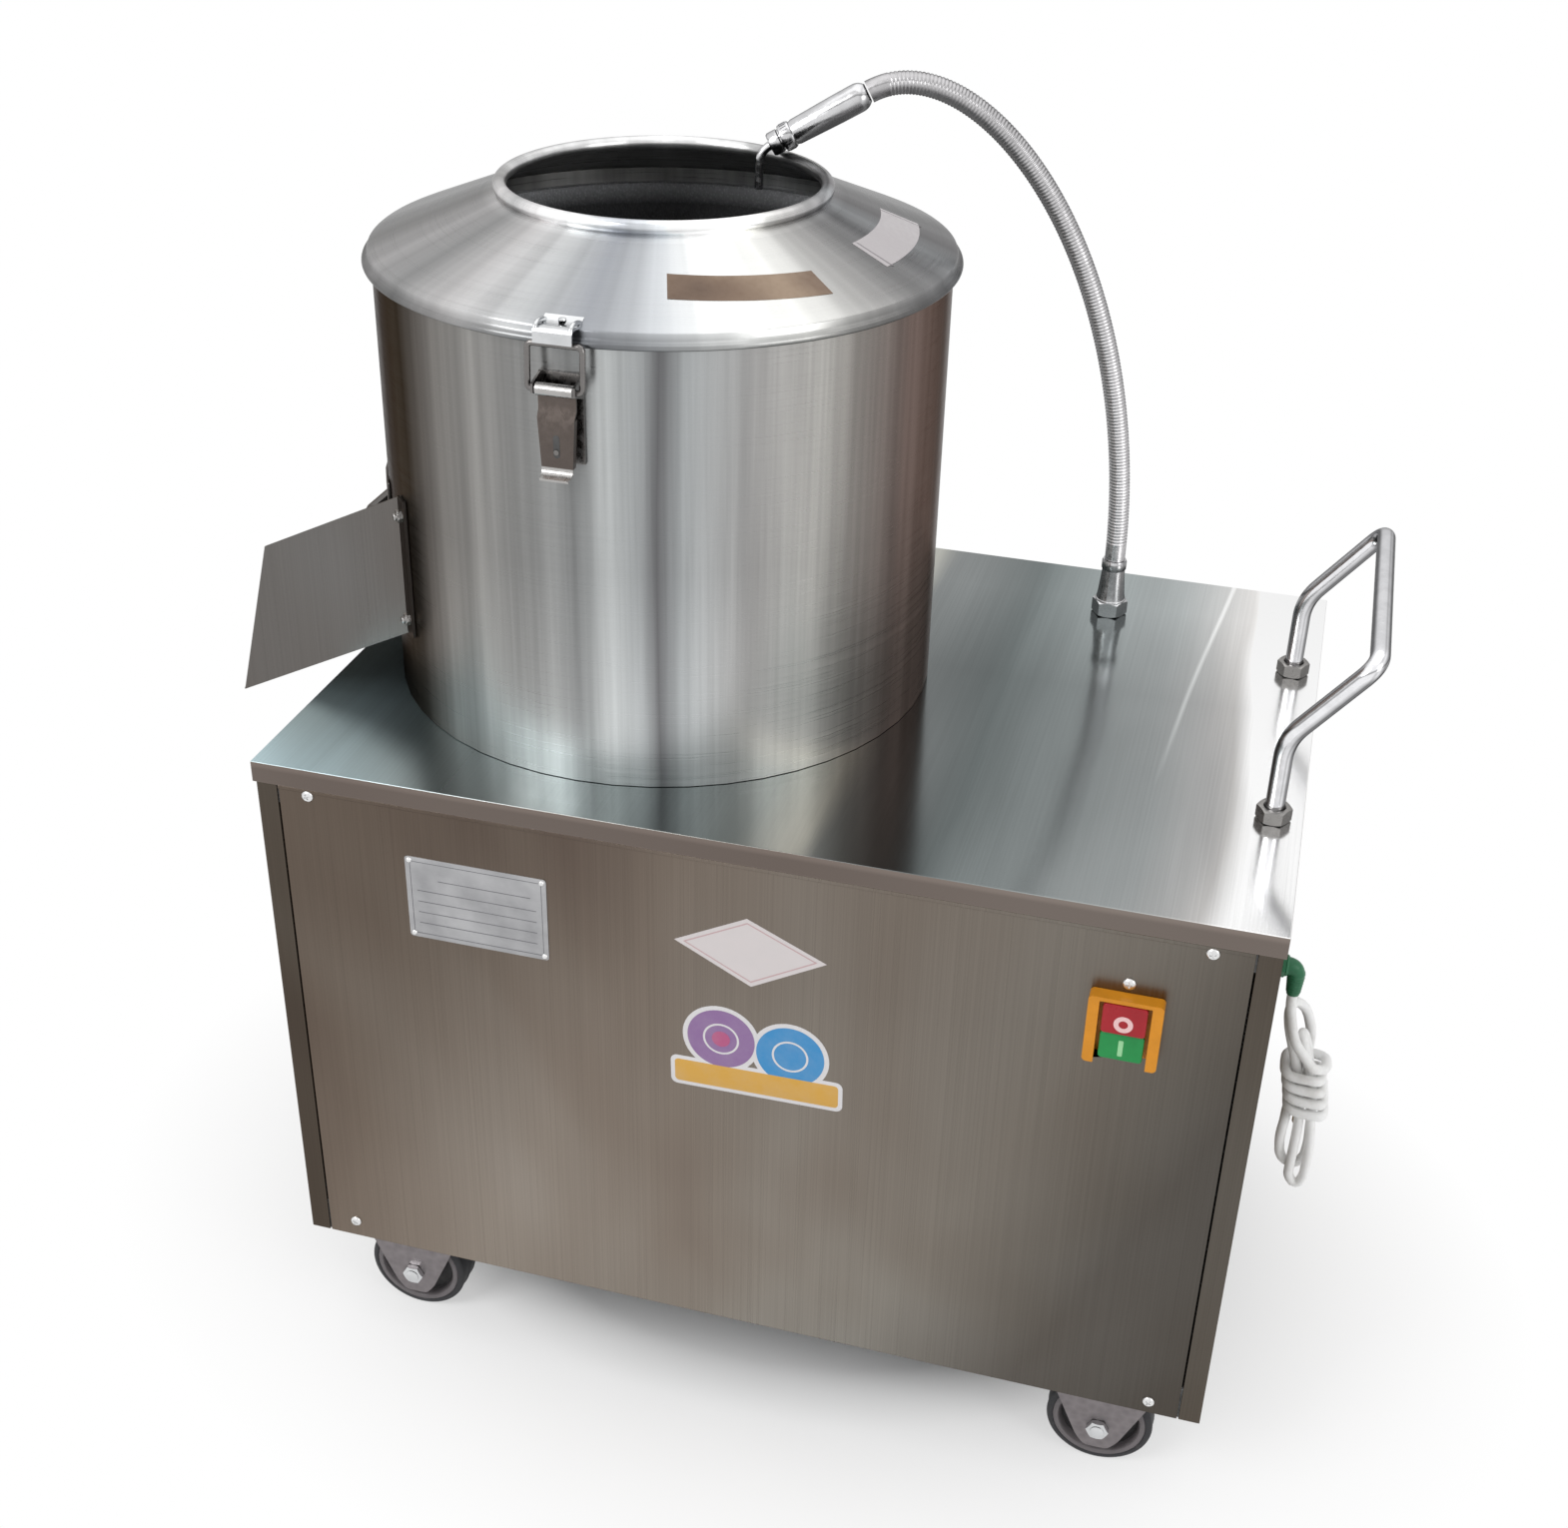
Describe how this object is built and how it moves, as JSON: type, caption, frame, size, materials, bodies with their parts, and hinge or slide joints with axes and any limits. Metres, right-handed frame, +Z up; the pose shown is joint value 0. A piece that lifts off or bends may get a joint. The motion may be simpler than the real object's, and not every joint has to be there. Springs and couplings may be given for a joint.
{
  "type": "potato peeling machine",
  "caption": "Wheeled steel cabinet with a round peeling barrel, a latched lid with an open mouth, a discharge chute, a water gooseneck, a push handle and a belt-driven abrasive disc.",
  "frame": {"origin": "on the floor, under the middle of the footprint measured without the cord", "axes": "+Z up, +X from the chute towards the push handle, -Y is the front with the switch"},
  "size_m": [0.8118, 0.5286, 0.9375],
  "materials": {
    "brushed_steel": "brushed stainless steel",
    "panel_steel": "brushed stainless sheet, darker in reflection",
    "chrome": "polished",
    "zinc_steel": "zinc-plated steel",
    "cast_iron": "painted casting",
    "motor_paint": "satin enamel",
    "belt_rubber": "matt",
    "tyre": "matt",
    "grit": "coarse abrasive grain",
    "disc_metal": "casting with a coarse abrasive coat",
    "cord_plastic": "smooth sheath",
    "gland_plastic": "satin",
    "switch_yellow": "satin",
    "stop_red": "satin",
    "start_green": "satin"
  },
  "bodies": {
    "cabinet": {"tabletop": "brushed_steel", "left_side_panel": "panel_steel", "right_side_panel": "panel_steel", "front_panel": "panel_steel", "back_panel": "panel_steel", "base_frame": "zinc_steel", "upper_frame": "zinc_steel", "drive_plate": "zinc_steel", "front_left_caster_fork": "zinc_steel", "front_left_caster_axle": "chrome", "front_right_caster_fork": "zinc_steel", "front_right_caster_axle": "chrome", "back_left_caster_fork": "zinc_steel", "back_left_caster_axle": "chrome", "back_right_caster_fork": "zinc_steel", "back_right_caster_axle": "chrome", "barrel_shell": "brushed_steel", "barrel_floor": "brushed_steel", "barrel_liner": "grit", "front_latch_base": "chrome", "back_latch_base": "chrome", "chute": "panel_steel", "door_hinge": "zinc_steel", "bearing_housing": "cast_iron", "lower_bearing": "chrome", "upper_bearing": "chrome", "drive_belt": "belt_rubber", "motor": "motor_paint", "motor_bracket": "zinc_steel", "drain_pipe": "brushed_steel", "gooseneck_hose": "chrome", "hose_fitting": "chrome", "push_handle": "chrome", "handle_nut_front": "chrome", "handle_nut_back": "chrome", "switch_housing": "switch_yellow", "cord_gland": "gland_plastic", "cord_lead": "cord_plastic", "cord_hank": "cord_plastic", "plug": "cord_plastic"},
    "lid": {"lid": "brushed_steel", "front_latch_keeper": "chrome", "back_latch_keeper": "chrome"},
    "front_lever": {"front_latch_lever": "chrome"},
    "back_lever": {"back_latch_lever": "chrome"},
    "front_bail": {"front_latch_bail": "chrome"},
    "back_bail": {"back_latch_bail": "chrome"},
    "door": {"discharge_door": "panel_steel"},
    "stop": {"stop_button": "stop_red"},
    "start": {"start_button": "start_green"},
    "disc": {"peeling_disc": "disc_metal", "disc_nut": "chrome", "main_shaft": "zinc_steel", "large_pulley": "cast_iron"},
    "motor_rotor": {"motor_pulley": "cast_iron"},
    "nozzle": {"spray_nozzle": "chrome"},
    "front_left_wheel": {"front_left_caster_wheel": "tyre"},
    "front_right_wheel": {"front_right_caster_wheel": "tyre"},
    "back_left_wheel": {"back_left_caster_wheel": "tyre"},
    "back_right_wheel": {"back_right_caster_wheel": "tyre"}
  },
  "joints": [
    {"name": "lid_lift", "type": "slide", "parent": "cabinet", "child": "lid", "axis": [0, 0, 1], "range_m": [0, 0.02]},
    {"name": "front_latch_lever", "type": "hinge", "parent": "cabinet", "child": "front_lever", "pos_m": [-0.11521, -0.22325, 0.8033], "axis": [-1, 0, 0], "range_deg": [0, 110]},
    {"name": "front_latch_bail", "type": "hinge", "parent": "lid", "child": "front_bail", "pos_m": [-0.11521, -0.22125, 0.8303], "axis": [-1, 0, 0], "range_deg": [0, 80]},
    {"name": "back_latch_lever", "type": "hinge", "parent": "cabinet", "child": "back_lever", "pos_m": [-0.11521, 0.19575, 0.8033], "axis": [1, 0, 0], "range_deg": [0, 110]},
    {"name": "back_latch_bail", "type": "hinge", "parent": "lid", "child": "back_bail", "pos_m": [-0.11521, 0.19375, 0.8303], "axis": [1, 0, 0], "range_deg": [0, 80]},
    {"name": "discharge_door", "type": "hinge", "parent": "cabinet", "child": "door", "pos_m": [-0.31871, -0.01375, 0.6843], "axis": [0, 1, 0], "range_deg": [0, 75]},
    {"name": "nozzle_swivel", "type": "hinge", "parent": "cabinet", "child": "nozzle", "pos_m": [-0.00896, 0.0911, 0.91885], "axis": [-0.3315, 0.9435, 0], "range_deg": [0, 26]},
    {"name": "stop_button", "type": "slide", "parent": "cabinet", "child": "stop", "axis": [0, 1, 0], "range_m": [0, 0.003], "stiffness_N_per_m": 300, "springref_m": -0.003},
    {"name": "start_button", "type": "slide", "parent": "cabinet", "child": "start", "axis": [0, 1, 0], "range_m": [0, 0.003], "stiffness_N_per_m": 300, "springref_m": -0.003},
    {"name": "disc_spin", "type": "hinge", "parent": "cabinet", "child": "disc", "pos_m": [-0.11521, -0.01375, 0.5823], "axis": [0, 0, 1], "continuous": true},
    {"name": "motor_spin", "type": "hinge", "parent": "cabinet", "child": "motor_rotor", "pos_m": [0.13579, -0.01375, 0.157], "axis": [0, 0, 1], "continuous": true},
    {"name": "front_left_wheel_spin", "type": "hinge", "parent": "cabinet", "child": "front_left_wheel", "pos_m": [-0.26321, -0.20675, 0.04], "axis": [0, 1, 0], "continuous": true},
    {"name": "front_right_wheel_spin", "type": "hinge", "parent": "cabinet", "child": "front_right_wheel", "pos_m": [0.29079, -0.20675, 0.04], "axis": [0, 1, 0], "continuous": true},
    {"name": "back_left_wheel_spin", "type": "hinge", "parent": "cabinet", "child": "back_left_wheel", "pos_m": [-0.26321, 0.19225, 0.04], "axis": [0, 1, 0], "continuous": true},
    {"name": "back_right_wheel_spin", "type": "hinge", "parent": "cabinet", "child": "back_right_wheel", "pos_m": [0.29079, 0.19225, 0.04], "axis": [0, 1, 0], "continuous": true}
  ],
  "couplings": [
    {"joint": "front_latch_lever", "follows": "lid_lift", "rad_per_m": 95.9},
    {"joint": "front_latch_bail", "follows": "lid_lift", "rad_per_m": 69.8},
    {"joint": "back_latch_lever", "follows": "lid_lift", "rad_per_m": 95.9},
    {"joint": "back_latch_bail", "follows": "lid_lift", "rad_per_m": 69.8},
    {"joint": "nozzle_swivel", "follows": "lid_lift", "rad_per_m": 22.68},
    {"joint": "motor_spin", "follows": "disc_spin", "ratio": 4.2381}
  ]
}
